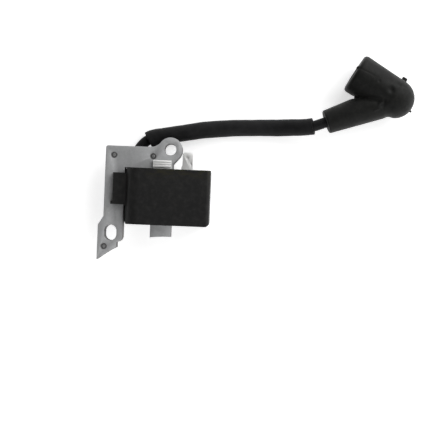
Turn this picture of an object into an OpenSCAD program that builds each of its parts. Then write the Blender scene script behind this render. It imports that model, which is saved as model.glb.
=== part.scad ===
// Ignition coil module for a small two-stroke engine: a laminated core carries a potted coil,
// and a high-tension lead runs to a rubber spark-plug boot that turns on the lead's end.
// Frame: origin at the centre of the upper mounting hole, on the core's back face.
// +X runs across the legs, +Y points away from the flywheel, +Z out of the core's front.

/* [Core] */
// Number of steel sheets in the stack
sheet_count = 12; // [8:1:16]
// Pitch of the sheets through the stack
sheet_pitch = 0.65; // [0.5:0.05:0.8]
// Varnish gap between two sheets
sheet_gap = 0.02; // [0.01:0.01:0.05]
// Distance from the upper hole to the outer leg's outside
outer_leg_x = 29.7; // [28:0.1:36]
// Width of the outer leg
outer_leg_w = 9; // [7:0.1:9.5]
// Width of the centre leg
centre_leg_w = 9.6; // [8:0.1:10.4]
// Distance from the upper hole to the centre leg's free side
centre_leg_x = 1.6; // [1:0.1:2]
// Height of the yoke that joins the legs
yoke_h = 9.8; // [9:0.1:10.2]
// Height of the yoke's top edge above the upper hole's centre
yoke_top = 0.8; // [0:0.1:1.5]
// Distance from the upper hole down to the pole face
pole_drop = 40.4; // [39:0.1:50]
// Radius of the flywheel that both legs' pole faces follow
flywheel_r = 50; // [45:0.5:60]
// Radius of the corners of the sheets
sheet_corner_r = 1; // [0.5:0.1:1.5]

/* [Mounting holes] */
// Radius of the upper hole, for an M5 screw
hole_r = 2.7; // [2.2:0.05:3.2]
// Radius of the round ear about the upper hole
ear_r = 5.5; // [5:0.1:6.5]
// Radius of the fillet between the ear and the yoke
ear_fillet_r = 6; // [4:0.5:7]
// Width of the lower slot, for an M5 screw
slot_w = 5.6; // [4.4:0.1:6]
// Length of the lower slot, end to end
slot_l = 7.2; // [6.5:0.1:8]
// Slot centre, from the upper hole across the legs
slot_x = 26.2; // [26:0.1:26.4]
// Slot centre, from the upper hole towards the flywheel
slot_drop = 39.3; // [38.8:0.1:39.8]

/* [Rivets] */
// Radius of the rivets
rivet_r = 1.5; // [1:0.05:1.6]
// Clearance of the rivets in their holes
rivet_fit = 0.03; // [0.02:0.01:0.08]
// Depth of the ring struck into each rivet's ends
rivet_ring_depth = 0.25; // [0.1:0.05:0.4]

/* [Case] */
// Width of the case across the legs
case_w = 39.3; // [38:0.1:50]
// Length of the case along the legs
case_l = 25.6; // [25:0.1:31]
// Thickness of the case through the stack
case_t = 25; // [24.5:0.1:32]
// Wall of the case
case_wall = 1.6; // [1.2:0.1:2]
// Gap between the case and the core's yoke and outer leg
case_gap = 0.5; // [0.3:0.1:1]
// Radius of the case's large front edge
case_shoulder_r = 6.2; // [3:0.1:8]
// Radius of the case's other front edge
case_edge_r = 1.9; // [1.7:0.1:3]
// Radius of the two corners by the pole face
case_corner_r = 2; // [1.7:0.1:3]
// Depth of the step in the case's outer side
case_step = 0.8; // [0.3:0.1:1]
// Width of the saddle lug over the outer leg
lug_w = 5.4; // [4:0.1:6.5]
// Length of the saddle lug
lug_l = 14.5; // [10:0.1:16]
// Height of the saddle lug above the core's front
lug_h = 3.8; // [2:0.1:6]
// Depth of the potting resin's surface below the case's open rim
resin_recess = 0.4; // [0.2:0.1:1]

/* [Windings] */
// Clearance between the centre leg and what surrounds it
leg_fit = 0.2; // [0.1:0.05:0.25]
// Wall of the primary bobbin
primary_wall = 0.8; // [0.6:0.1:0.9]
// Depth of the primary winding
primary_depth = 1.6; // [1.2:0.1:1.7]
// Wall of the secondary bobbin
secondary_wall = 0.7; // [0.5:0.1:0.8]
// Depth of the secondary winding
secondary_depth = 2; // [1.4:0.1:2.1]
// Number of sections of the secondary winding
section_count = 6; // [3:1:8]
// Thickness of the bobbins' flanges
flange_t = 0.7; // [0.5:0.1:0.9]
// Clearance between the two bobbins, and from them to the case
bobbin_fit = 0.15; // [0.1:0.05:0.2]

/* [Terminals] */
// Width of the stop terminal, a 4.8 mm spade
tab_w = 4.8; // [4:0.1:5]
// Thickness of the stop terminal
tab_t = 0.8; // [0.5:0.1:0.9]
// Length of the stop terminal outside the case
tab_l = 8.7; // [7:0.1:10]
// Stop terminal's centre, from the upper hole across the legs
tab_x = 8; // [7.9:0.1:8.2]
// Width of the core clip
clip_w = 8.5; // [6:0.1:8.8]
// Thickness of the core clip's strip
clip_t = 0.4; // [0.3:0.05:0.45]
// Length of the core clip's tongue inside the coil
clip_tongue = 20; // [10:1:22]

/* [High-tension lead] */
// Diameter of the lead
lead_d = 5; // [4.5:0.1:5.4]
// Outside diameter of the loose sleeve
sleeve_d = 8; // [7.4:0.1:8.1]
// Wall of the loose sleeve
sleeve_wall = 0.8; // [0.5:0.1:0.9]
// Wall of the outlet collar on the case
outlet_wall = 0.7; // [0.6:0.1:0.9]
// Length of the outlet collar outside the case
outlet_l = 2.5; // [1.5:0.1:3]
// Clearance of the lead in the outlet collar and in the boot
lead_fit = 0.05; // [0.03:0.01:0.1]

/* [Spark-plug boot] */
// Length of the barrel that holds the lead, from its end to the elbow's centre
lead_barrel_l = 33.9; // [30:0.1:42]
// Diameter of the lead barrel at its end
lead_barrel_d = 11; // [9:0.1:12.5]
// Diameter of the lead barrel at the elbow
lead_barrel_root_d = 15.2; // [13.5:0.1:17]
// Length of the barrel that takes the plug, from its mouth to the elbow's centre
plug_barrel_l = 22.6; // [21:0.1:28]
// Diameter of the plug barrel at its mouth
plug_barrel_d = 19.2; // [18.6:0.1:19.3]
// Radius of the round elbow
elbow_r = 9.2; // [8.4:0.05:9.4]
// Angle between the two barrels
boot_angle = 52; // [48:1:90]
// Diameter of the bore that takes the plug's insulator
plug_bore_d = 10.4; // [9.5:0.1:12]
// Depth of the plug bore
plug_bore_l = 13; // [9:0.1:13.5]
// Diameter of the contact spring's wire
spring_wire_d = 0.9; // [0.6:0.1:1]
// Inside diameter of the contact spring, which grips the plug's terminal
spring_id = 5.9; // [5:0.1:6]
// Number of turns in the contact spring
spring_turns = 5; // [3:1:6]

/* [Hidden] */
$fn = 64;

// Free overrun of a cut beyond the face it opens
over = 1;

// Core
stack_t = sheet_count * sheet_pitch - sheet_gap;
outer_leg_in = -outer_leg_x + outer_leg_w;
yoke_bottom = yoke_top - yoke_h;
leg_mid_x = centre_leg_x - centre_leg_w / 2;
leg_mid_z = stack_t / 2;
flywheel_y = -pole_drop - sqrt(flywheel_r * flywheel_r - leg_mid_x * leg_mid_x);
// The outer leg's foot spreads out about the slot and ends in a slanted tip
foot_spread = 2.4;
foot_top = -slot_drop + 7.4;
foot_side_x = -outer_leg_x - foot_spread;
foot_side_y = -slot_drop + 3.4;
foot_heel_y = -slot_drop - 4.3;
foot_heel_r = 2.6;
foot_heel_x = outer_leg_in - foot_heel_r;
// Where the ear's outline meets the centre leg's free side
ear_root_y = yoke_bottom + 2.4;
rivet_places = [
    [-outer_leg_x + 3.9, yoke_top - 4.3],
    [-7.8, yoke_top - 4.3],
    [-slot_x - 2.8, -slot_drop - 6.4]
];

// Case
case_x0 = outer_leg_in + case_gap;
case_x1 = case_x0 + case_w;
case_y1 = yoke_bottom - case_gap;
case_y0 = case_y1 - case_l;
case_z0 = leg_mid_z - case_t / 2;
case_z1 = leg_mid_z + case_t / 2;
step_z = stack_t - 0.4;
lug_lip_w = 0.8;
lug_lip_l = 1.5;
lug_y1 = case_y1 - 2.2;
inner_y1 = case_y1 - case_wall;
inner_y0 = case_y0 + case_wall;

// Half sizes of the nested windings, [across the legs, through the stack]
passage = [centre_leg_w / 2 + leg_fit, stack_t / 2 + clip_t + leg_fit];
primary_barrel = passage + [primary_wall, primary_wall];
primary_coil = primary_barrel + [primary_depth, primary_depth];
secondary_bore = primary_coil + [bobbin_fit, bobbin_fit];
secondary_barrel = secondary_bore + [secondary_wall, secondary_wall];
secondary_coil = secondary_barrel + [secondary_depth, secondary_depth];
flange_proud = 0.2;
secondary_rim = secondary_coil + [flange_proud, flange_proud];
winding_corner_r = 1;
primary_y1 = inner_y1 - bobbin_fit;
primary_y0 = inner_y0 + bobbin_fit;
lead_out_room = 3;
secondary_y1 = primary_y1 - lead_out_room;
secondary_y0 = primary_y0;
section_pitch = (secondary_y1 - secondary_y0 - flange_t) / section_count;

// Electronics bay, on the free side of the windings
board_t = 1.2;
board_x = leg_mid_x + secondary_rim[0] + 3.1;
board_face = board_x + board_t;
board_y1 = inner_y1 - 0.5;
board_y0 = inner_y0 + 0.5;
board_z0 = case_z0 + 2.5;
board_z1 = case_z1 - case_wall - 1;
leg_wire_r = 0.3;
stand_wire_r = 0.25;
primary_run_z = 3;
part_gap = 0.25;
// Axial components across the board, from its edges and from the case's back
far_row_y = board_y0 + 6;
near_row_y = board_y1 - 5.5;
axial_r = 0.95;
axial_l = 4;
diode_r = 1;
diode_l = 3.6;
near_rows_z = [board_z0 + 1.4, board_z0 + 3.7];
far_row_z = board_z0 + 12;
diode_z = board_z0 + 9.6;

// Stop terminal and core clip
tab_z = leg_mid_z - 0.5;
tab_chamfer = 0.8;
tab_shoulder = 0.5;
tab_shoulder_l = 1.6;
tab_shoulder_run = 1;
// Latch dimples, [across, along, radius], from the middle of the blade's tip
tab_dimples = [[-0.3, -2.7, 0.75], [1.5, -5.4, 0.45]];
tab_dimple_depth = 0.3;
tab_fit = 0.05;
tab_tail_w = 1.8;
tab_tail_l = 3;
clip_x = leg_mid_x - 0.3;
clip_y1 = case_y1 + 4.3;
clip_leaf_l = 3.2;
clip_gap = 0.4;
clip_groove = 0.12;
clip_groove_pitch = 0.94;

// Centreline of the lead's free stretch, from the outlet collar to the boot
lead_route = [
    [-17, -7, -4.4],
    [-17, -6, -4.4],
    [-17, -5, -4.4],
    [-16.3, -1.2, -4.4],
    [-14.3, 2.2, -4.4],
    [-11.4, 4.9, -4.45],
    [-7.6, 6.3, -4.5],
    [-1, 7.6, -4.55],
    [7, 9.2, -4.55],
    [17, 10.9, -4.55],
    [28, 12, -4.55],
    [38, 12.6, -4.55],
    [47, 12.9, -4.1],
    [55, 13.2, -2.6],
    [62, 13.5, -0.4],
    [66, 14, 0.8],
    [69.005, 15.01, 1.1],
    [70.402, 15.555, 1.1],
    [71.8, 16.1, 1.1]
];
route_steps = 4;
lead_path = smooth_path(lead_route, route_steps);
// The sleeve covers the lead between these two route points
sleeve_from = 5;
sleeve_to = 15;
lead_r = lead_d / 2;
lead_sides = 12;
sleeve_sides = 16;
outlet_r = lead_r + lead_fit + outlet_wall;
outlet_y = lead_route[0][1];
outlet_x = lead_route[0][0];
outlet_z = lead_route[0][2];
// The lead's root ends inside the case, on the high-tension pin
lead_root_l = 6;
lead_root_y = outlet_y - lead_root_l;
pin_r = 0.6;
pin_reach = 4;
pin_base_r = 1.6;
pin_base_t = 0.6;
pin_base_y = lead_root_y - 1;
pin_tail_y = lead_root_y - 4;
link_y = lead_root_y - 3.2;
link_r = 0.25;

// Boot: its lead barrel carries on along the lead's last stretch
boot_mouth = lead_route[len(lead_route) - 1];
boot_heading = 21.3;
plug_heading = boot_heading + 180 - boot_angle;
elbow = boot_mouth + lead_barrel_l * [cos(boot_heading), sin(boot_heading), 0];
lead_stop = 10;
lead_tip_l = lead_barrel_l - lead_stop;
plug_cavity_r = spring_id / 2 + spring_wire_d + 0.4;
mouth_rim_r = 1.4;
barrel_rim_r = 0.6;
lead_barrel_mid_d = 13.2;
wire_passage_r = 1.3;

// Contact spring: a coil about the plug axis with a tail that enters the lead's end
spring_r = (spring_id + spring_wire_d) / 2;
spring_pitch = spring_wire_d + 0.5;
spring_sides = 8;
turn_steps = 16;
spring_start = 1.2;
tail_reach = 5;
tail_bore_r = spring_wire_d / 2 + 0.1;

// ---- Functions --------------------------------------------------------------------------------

function unit(v) = v / norm(v);

// Points of an arc, whose step is about 5 degrees
function arc(centre, r, from, to) =
    let (steps = ceil(abs(to - from) / 5))
    [for (i = [0:steps])
        let (a = from + (to - from) * i / steps)
        centre + r * [cos(a), sin(a)]];

// Point at fraction t between b and c of a Catmull-Rom curve through a, b, c and d
function curve_point(a, b, c, d, t) =
    0.5 * (2 * b + (c - a) * t + (2 * a - 5 * b + 4 * c - d) * t * t
        + (3 * b - a - 3 * c + d) * t * t * t);

// Curve through every point of a route, with a number of steps between neighbours
function smooth_path(route, steps) =
    let (last = len(route) - 1)
    concat(
        [for (i = [0:last - 1], k = [0:steps - 1])
            curve_point(
                i == 0 ? 2 * route[0] - route[1] : route[i - 1],
                route[i],
                route[i + 1],
                i + 1 == last ? 2 * route[last] - route[last - 1] : route[i + 2],
                k / steps)],
        [route[last]]
    );

function part_of(path, from, to) = [for (i = [from:to]) path[i]];

function path_tangent(path, i) =
    unit(path[min(i + 1, len(path) - 1)] - path[max(i - 1, 0)]);

// Ring of points about one point of a path, square to the path
function path_ring(path, i, r, sides, up) =
    let (
        along = path_tangent(path, i),
        across = unit(cross(along, up)),
        above = cross(across, along)
    )
    [for (k = [0:sides - 1])
        path[i] + r * (cos(360 * k / sides) * across + sin(360 * k / sides) * above)];

// Side faces between neighbouring rings, the first of which starts at point number base
function skin(rings, sides, base) =
    [for (i = [0:rings - 2], k = [0:sides - 1])
        let (
            a = base + i * sides,
            b = a + sides,
            n = (k + 1) % sides
        )
        [a + k, b + k, b + n, a + n]];

function flipped(faces) = [for (f = faces) [for (k = [len(f) - 1:-1:0]) f[k]]];

// ---- Shared shapes ----------------------------------------------------------------------------

// Solid tube along a path
module tube(path, r, sides, up) {
    rings = len(path);
    polyhedron(
        points = [for (i = [0:rings - 1]) each path_ring(path, i, r, sides, up)],
        faces = concat(
            [[for (k = [0:sides - 1]) k]],
            skin(rings, sides, 0),
            [[for (k = [sides - 1:-1:0]) (rings - 1) * sides + k]]
        )
    );
}

// Hollow tube along a path
module hollow_tube(path, r, wall, sides, up) {
    rings = len(path);
    inner = rings * sides;
    last = (rings - 1) * sides;
    polyhedron(
        points = concat(
            [for (i = [0:rings - 1]) each path_ring(path, i, r, sides, up)],
            [for (i = [0:rings - 1]) each path_ring(path, i, r - wall, sides, up)]
        ),
        faces = concat(
            skin(rings, sides, 0),
            flipped(skin(rings, sides, inner)),
            [for (k = [0:sides - 1])
                let (n = (k + 1) % sides) [k, n, inner + n, inner + k]],
            [for (k = [0:sides - 1])
                let (n = (k + 1) % sides) [last + n, last + k, inner + last + k, inner + last + n]]
        )
    );
}

// Waste outside a rounded corner at x, y whose material lies towards sx, sy
module corner_waste(x, y, r, sx, sy) {
    difference() {
        translate([x - (sx > 0 ? over : r), y - (sy > 0 ? over : r)]) square(r + over);
        translate([x + sx * r, y + sy * r]) circle(r);
    }
}

// Rectangle of given half sizes with round corners
module round_rect(half, r) {
    difference() {
        translate(-half) square(2 * half);
        for (sx = [-1, 1], sy = [-1, 1])
            corner_waste(sx * half[0], sy * half[1], r, -sx, -sy);
    }
}

// Stretch a flat shape, drawn across the legs and through the stack, along the legs
module along_legs(y1, length) {
    translate([0, y1, 0]) rotate([90, 0, 0]) linear_extrude(length) children();
}

// Rectangular sleeve about the centre leg
module leg_ring(outer, inner, y1, length) {
    along_legs(y1, length) translate([leg_mid_x, leg_mid_z]) difference() {
        round_rect(outer, winding_corner_r);
        round_rect(inner, winding_corner_r / 2);
    }
}

// Cylinder from one point towards a heading in the XY plane
module rod(from, heading, length, r) {
    translate(from) rotate([0, 0, heading]) rotate([0, 90, 0]) cylinder(h = length, r = r);
}

// Wire that stands out of the board's face
module board_wire(y, z, length) {
    rod([board_face, y, z], 0, length, stand_wire_r);
}

// Axial component, lying along the legs, with both wires bent into the board
module axial_part(y, z, length, r) {
    wire_out = 1.2;
    lift = r + 0.3;
    rod([board_face + lift, y - length / 2, z], 90, length, r);
    rod([board_face + lift, y - length / 2 - wire_out, z], 90, length + 2 * wire_out, leg_wire_r);
    for (end = [-1, 1])
        board_wire(y + end * (length / 2 + wire_out - 0.4), z, lift);
}

// ---- Core -------------------------------------------------------------------------------------

// Outline of one sheet, counter-clockwise from its top corner: the outer leg with its spread
// foot, the centre leg, then the round ear, which a line and a fillet blend into the core
function sheet_outline() =
    let (
        heel = [foot_heel_x, foot_heel_y + foot_heel_r],
        ear_root = [centre_leg_x, ear_root_y],
        ear_start = atan2(ear_root[1], ear_root[0]) + acos(ear_r / norm(ear_root)),
        fillet_y = yoke_top + ear_fillet_r,
        fillet = [-sqrt(pow(ear_r + ear_fillet_r, 2) - fillet_y * fillet_y), fillet_y],
        ear_end = atan2(fillet[1], fillet[0]),
        corner = [-outer_leg_x + sheet_corner_r, yoke_top - sheet_corner_r]
    )
    concat(
        arc(corner, sheet_corner_r, 90, 180),
        [[-outer_leg_x, foot_top], [foot_side_x, foot_side_y]],
        pole_face(foot_side_x, foot_heel_x),
        arc(heel, foot_heel_r, -90, 0),
        [[outer_leg_in, yoke_bottom], [centre_leg_x - centre_leg_w, yoke_bottom]],
        pole_face(centre_leg_x - centre_leg_w, centre_leg_x),
        [ear_root],
        arc([0, 0], ear_r, ear_start, ear_end),
        arc(fillet, ear_fillet_r, ear_end - 180, -90)
    );

// The flywheel's circle between two places across the legs
function pole_face(x0, x1) =
    arc([0, flywheel_y], flywheel_r, acos(x0 / flywheel_r), acos(x1 / flywheel_r));

module slot_shape() {
    for (end = [-1, 1]) translate([0, end * (slot_l - slot_w) / 2]) circle(slot_w / 2);
    square([slot_w, slot_l - slot_w], center = true);
}

module sheet_holes() {
    circle(hole_r);
    translate([-slot_x, -slot_drop]) slot_shape();
    for (p = rivet_places) translate(p) circle(rivet_r);
}

module lamination(i) {
    color("darkgray") translate([0, 0, (i - 1) * sheet_pitch])
        linear_extrude(sheet_pitch - sheet_gap) difference() {
            polygon(sheet_outline());
            sheet_holes();
        }
}

module core_rivets() {
    r = rivet_r - rivet_fit;
    color("gray") for (p = rivet_places) translate(p) difference() {
        cylinder(h = stack_t, r = r);
        for (z = [-over, stack_t - rivet_ring_depth]) translate([0, 0, z]) difference() {
            cylinder(h = over + rivet_ring_depth, r = r * 0.8);
            cylinder(h = over + rivet_ring_depth, r = r * 0.5);
        }
    }
}

// ---- Case -------------------------------------------------------------------------------------

// The case's outline across the legs and through the stack, set in by a wall
module case_section(inset) {
    x0 = case_x0 + inset;
    x1 = case_x1 - inset;
    z1 = case_z1 - inset;
    difference() {
        translate([x0, case_z0]) square([x1 - x0, z1 - case_z0]);
        translate([x0 - over, step_z]) square([case_step + over, case_t]);
        corner_waste(x0 + case_step, z1, case_shoulder_r - inset, 1, -1);
        corner_waste(x1, z1, case_edge_r - inset, -1, -1);
    }
}

// The case's outline seen from the front, set in by a wall
module case_plan(inset) {
    x0 = case_x0 + inset;
    x1 = case_x1 - inset;
    y0 = case_y0 + inset;
    y1 = case_y1 - inset;
    difference() {
        translate([x0, y0]) square([x1 - x0, y1 - y0]);
        corner_waste(x0, y0, case_corner_r - inset, 1, 1);
        corner_waste(x1, y0, case_corner_r - inset, -1, 1);
    }
}

module case_block(inset) {
    intersection() {
        along_legs(case_y1 - inset, case_l - 2 * inset) case_section(inset);
        translate([0, 0, case_z0]) linear_extrude(case_t) case_plan(inset);
    }
}

module lug() {
    x1 = case_x0 + case_step + case_wall / 2;
    x0 = case_x0 - lug_w;
    z0 = stack_t + case_gap / 4;
    lug_r = 0.8;
    along_legs(lug_y1, lug_l) difference() {
        translate([x0, z0]) square([x1 - x0, lug_h]);
        corner_waste(x0, z0 + lug_h, lug_r, 1, -1);
    }
    along_legs(lug_y1 - lug_l + lug_lip_l, lug_lip_l) difference() {
        translate([x0 - lug_lip_w, z0]) square([x1 - x0 + lug_lip_w, lug_h]);
        corner_waste(x0 - lug_lip_w, z0 + lug_h, lug_r, 1, -1);
    }
}

// Socket for the lead: a collar outside the case and a boss inside it
module outlet_solid(r, from, to) {
    translate([outlet_x, from, outlet_z]) rotate([90, 0, 0]) cylinder(h = from - to, r = r);
}

module coil_case() {
    collar_y = case_y1 + outlet_l;
    color([0.1, 0.1, 0.1]) difference() {
        union() {
            difference() {
                case_block(0);
                translate([0, 0, -over]) case_block(case_wall);
                case_block(case_wall);
            }
            lug();
            outlet_solid(outlet_r, collar_y, pin_base_y);
        }
        // Passage for the centre leg
        along_legs(case_y1 + over, case_l + 2 * over)
            translate([leg_mid_x, leg_mid_z]) square(2 * passage, center = true);
        outlet_solid(lead_r + lead_fit, collar_y + over, lead_root_y);
        outlet_solid(pin_r + lead_fit, lead_root_y + over, pin_base_y - over);
        // Slot for the stop terminal
        translate([tab_x - tab_w / 2 - tab_fit, inner_y1 - over, tab_z - tab_t / 2 - tab_fit])
            cube([tab_w + 2 * tab_fit, case_wall + 2 * over, tab_t + 2 * tab_fit]);
    }
}

module potting_resin() {
    room = 0.1;
    socket_room = 0.5;
    link_room = [leg_mid_x - secondary_rim[0] - outlet_x, 3, 2];
    bay_x0 = tab_x + tab_w / 2 - tab_tail_w - 0.2;
    color([0.06, 0.06, 0.06]) difference() {
        intersection() {
            case_block(case_wall);
            translate([case_x0, case_y0, case_z0 + resin_recess]) cube([case_w, case_l, case_t]);
        }
        // Room for the windings
        along_legs(primary_y1 + over, primary_y1 - primary_y0 + 2 * over)
            translate([leg_mid_x, leg_mid_z]) square(2 * (secondary_rim + [room, room]), center = true);
        // Room for the electronics
        translate([bay_x0, board_y0 - room, board_z0 - room])
            cube([case_x1, board_y1 - board_y0 + 2 * room + over, board_z1 - board_z0 + 2 * room]);
        primary_runs(leg_wire_r + room / 2);
        // Room for the lead's socket and the high-tension pin and link
        outlet_solid(outlet_r + room, inner_y1 + over, pin_tail_y - socket_room);
        translate([outlet_x, pin_tail_y - socket_room, outlet_z - link_room[2] / 2]) cube(link_room);
    }
}

// ---- Windings ---------------------------------------------------------------------------------

module primary_bobbin() {
    color("ivory") {
        leg_ring(primary_barrel, passage, primary_y1, primary_y1 - primary_y0);
        for (y = [primary_y1, primary_y0 + flange_t])
            leg_ring(primary_coil, passage, y, flange_t);
    }
}

module primary_winding() {
    length = primary_y1 - primary_y0 - 2 * flange_t;
    color("peru") leg_ring(primary_coil, primary_barrel, primary_y1 - flange_t, length);
}

module secondary_bobbin() {
    color("beige") {
        leg_ring(secondary_barrel, secondary_bore, secondary_y1, secondary_y1 - secondary_y0);
        for (i = [0:section_count])
            leg_ring(secondary_rim, secondary_bore, secondary_y1 - i * section_pitch, flange_t);
    }
}

module secondary_winding() {
    color("sienna") for (i = [0:section_count - 1])
        leg_ring(secondary_coil, secondary_barrel,
            secondary_y1 - i * section_pitch - flange_t, section_pitch - flange_t);
}

// ---- Electronics ------------------------------------------------------------------------------

module circuit_board() {
    color("darkgreen") translate([board_x, board_y0, board_z0])
        cube([board_t, board_y1 - board_y0, board_z1 - board_z0]);
}

module power_transistor() {
    body = [3, 8, 11];
    y = board_y1 - 1.5 - body[1];
    z = board_z1 - 0.5 - body[2];
    leg = [0.5, 0.8, z - near_rows_z[1] - axial_r - part_gap];
    color("dimgray") translate([board_face, y, z]) cube(body);
    color("silver") for (k = [1:3])
        translate([board_face, y + k * body[1] / 4 - leg[1] / 2, z - leg[2]]) cube(leg);
}

module control_transistor() {
    body_r = 2.3;
    body_h = 4.6;
    pitch = 1.27;
    z = board_z1 - 0.6 - body_h;
    leg = [0.5, 0.5, z - far_row_z - axial_r - part_gap];
    color("dimgray") translate([board_face, far_row_y, z]) difference() {
        cylinder(h = body_h, r = body_r);
        translate([-2 * body_r, -body_r, -over]) cube([2 * body_r, 2 * body_r, body_h + 2 * over]);
    }
    color("silver") for (k = [-1:1])
        translate([board_face, far_row_y + k * pitch - leg[1] / 2, z - leg[2]]) cube(leg);
}

module resistors() {
    color("tan") {
        axial_part(far_row_y, far_row_z, axial_l, axial_r);
        for (z = near_rows_z) axial_part(near_row_y, z, axial_l, axial_r);
    }
}

module capacitor() {
    body = [4.5, 7.5, 7];
    lift = 0.4;
    y = board_y0 + 2.2;
    z = board_z0 + 1;
    color("firebrick") translate([board_face + lift, y, z]) cube(body);
    color("silver") for (k = [1, 3]) board_wire(y + k * body[1] / 4, z + body[2] / 2, lift);
}

module diode() {
    color("black") axial_part(far_row_y, diode_z, diode_l, diode_r);
}

// Where the primary winding's two ends run out over the end of the secondary bobbin
module primary_runs(r) {
    x = leg_mid_x + primary_coil[0];
    for (dz = [-1, 1] * primary_run_z)
        rod([x, secondary_y1 + lead_out_room / 2, leg_mid_z + dz], 0, board_x - x, r);
}

module primary_wires() {
    color("peru") primary_runs(leg_wire_r);
}

// ---- Terminals --------------------------------------------------------------------------------

module stop_terminal() {
    x0 = tab_x - tab_w / 2;
    x1 = tab_x + tab_w / 2;
    tip = case_y1 + tab_l;
    tail_y = inner_y1 - tab_tail_l;
    color("silver") translate([0, 0, tab_z - tab_t / 2]) difference() {
        linear_extrude(tab_t)
            polygon([
                [x0, inner_y1],
                [x0, case_y1],
                [x0 - tab_shoulder, case_y1],
                [x0 - tab_shoulder, case_y1 + tab_shoulder_l],
                [x0, case_y1 + tab_shoulder_l + tab_shoulder_run],
                [x0, tip - tab_chamfer],
                [x0 + tab_chamfer, tip],
                [x1 - tab_chamfer, tip],
                [x1, tip - tab_chamfer],
                [x1, inner_y1],
                [board_x, inner_y1],
                [board_x, tail_y],
                [board_x - tab_tail_w, tail_y],
                [board_x - tab_tail_w, inner_y1]
            ]);
        for (d = tab_dimples)
            translate([tab_x + d[0], tip + d[1], tab_t - tab_dimple_depth])
                cylinder(h = tab_t, r = d[2]);
    }
}

// A tongue between the leg and the bobbin, folded back on itself over the core's front
module core_clip() {
    z0 = stack_t;
    bend_r = clip_gap / 2 + clip_t;
    bend_y = clip_y1 - bend_r;
    leaf_y = bend_y - clip_leaf_l + bend_r;
    color("gainsboro") translate([clip_x - clip_w / 2, 0, 0]) rotate([90, 0, 90])
        linear_extrude(clip_w) {
            translate([inner_y1 - clip_tongue, z0])
                square([bend_y - inner_y1 + clip_tongue, clip_t]);
            difference() {
                translate([bend_y, z0 + bend_r]) circle(bend_r);
                translate([bend_y, z0 + bend_r]) circle(bend_r - clip_t);
                translate([bend_y - 2 * bend_r, z0 - over]) square([2 * bend_r, 4 * bend_r]);
            }
            difference() {
                translate([leaf_y, z0 + 2 * bend_r - clip_t]) square([bend_y - leaf_y, clip_t]);
                for (k = [1, 2])
                    translate([leaf_y + k * clip_groove_pitch, z0 + 2 * bend_r - clip_groove])
                        square([clip_groove * 2, over]);
            }
        }
}

module ht_pin() {
    color("goldenrod") {
        outlet_solid(pin_r, lead_root_y + pin_reach, pin_base_y);
        outlet_solid(pin_base_r, pin_base_y, pin_base_y - pin_base_t);
        outlet_solid(pin_r, pin_base_y - pin_base_t, pin_tail_y);
    }
}

// Wire from the high-tension pin to the secondary winding's first section
module ht_link() {
    reach = leg_mid_x - secondary_coil[0] - outlet_x - pin_r;
    color("peru") rod([outlet_x + pin_r, link_y, outlet_z], 0, reach, link_r);
}

// ---- High-tension lead ------------------------------------------------------------------------

module ht_lead_root() {
    color([0.12, 0.12, 0.12]) difference() {
        outlet_solid(lead_r, outlet_y, lead_root_y);
        outlet_solid(pin_r, lead_root_y + pin_reach, lead_root_y - over);
    }
}

module ht_lead() {
    color([0.12, 0.12, 0.12]) tube(lead_path, lead_r, lead_sides, [0, 0, 1]);
}

module ht_lead_tip() {
    color([0.12, 0.12, 0.12]) difference() {
        rod(boot_mouth, boot_heading, lead_tip_l, lead_r);
        rod(elbow, boot_heading + 180, lead_stop + tail_reach + 0.5, tail_bore_r);
    }
}

module lead_sleeve() {
    color([0.14, 0.14, 0.14])
        hollow_tube(part_of(lead_path, sleeve_from * route_steps, sleeve_to * route_steps),
            sleeve_d / 2, sleeve_wall, sleeve_sides, [0, 0, 1]);
}

// ---- Spark-plug boot --------------------------------------------------------------------------

// Points on the axes of the two barrels, at a distance from the elbow's centre
function along_lead(s) = elbow - s * [cos(boot_heading), sin(boot_heading), 0];
function along_plug(s) = elbow + s * [cos(plug_heading), sin(plug_heading), 0];

// Turned shape whose axis leaves the elbow towards a heading
module turned(heading) {
    translate(elbow) rotate([0, 0, heading]) rotate([0, 90, 0]) rotate_extrude(angle = 360) children();
}

module lead_barrel() {
    end_r = lead_barrel_d / 2;
    rim = barrel_rim_r;
    turned(boot_heading + 180) {
        polygon([
            [0, 0],
            [lead_barrel_root_d / 2, 0],
            [lead_barrel_mid_d / 2, lead_barrel_l / 2],
            [end_r, lead_barrel_l - rim],
            [end_r - rim, lead_barrel_l],
            [0, lead_barrel_l]
        ]);
    }
}

module plug_barrel() {
    end_r = plug_barrel_d / 2;
    turned(plug_heading) {
        polygon([
            [0, 0],
            [elbow_r, 0],
            [end_r, plug_barrel_l - mouth_rim_r],
            [end_r - mouth_rim_r, plug_barrel_l],
            [0, plug_barrel_l]
        ]);
        translate([end_r - mouth_rim_r, plug_barrel_l - mouth_rim_r]) circle(mouth_rim_r);
    }
}

module boot_solid() {
    lead_barrel();
    plug_barrel();
    translate(elbow) sphere(elbow_r);
}

module boot_bores() {
    rod(along_lead(lead_stop), boot_heading + 180, lead_tip_l + over, lead_r + lead_fit);
    rod(elbow, boot_heading + 180, lead_stop + over, wire_passage_r);
    rod(elbow, plug_heading, plug_barrel_l, plug_cavity_r);
    translate(elbow) sphere(plug_cavity_r);
    rod(along_plug(plug_barrel_l - plug_bore_l), plug_heading, plug_bore_l + over, plug_bore_d / 2);
}

module plug_boot() {
    color([0.09, 0.1, 0.09]) difference() {
        boot_solid();
        boot_bores();
    }
}

// The spring's path: turns about the plug axis, then a tail along the lead's axis
function spring_path() =
    let (side = [-sin(plug_heading), cos(plug_heading), 0])
    concat(
        [for (k = [0:spring_turns * turn_steps])
            let (a = 360 * k / turn_steps)
            along_plug(spring_start + (spring_turns - k / turn_steps) * spring_pitch)
                + spring_r * (cos(a) * side + sin(a) * [0, 0, 1])],
        [for (s = [6, lead_stop - 2, lead_stop + tail_reach]) along_lead(s)]
    );

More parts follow.
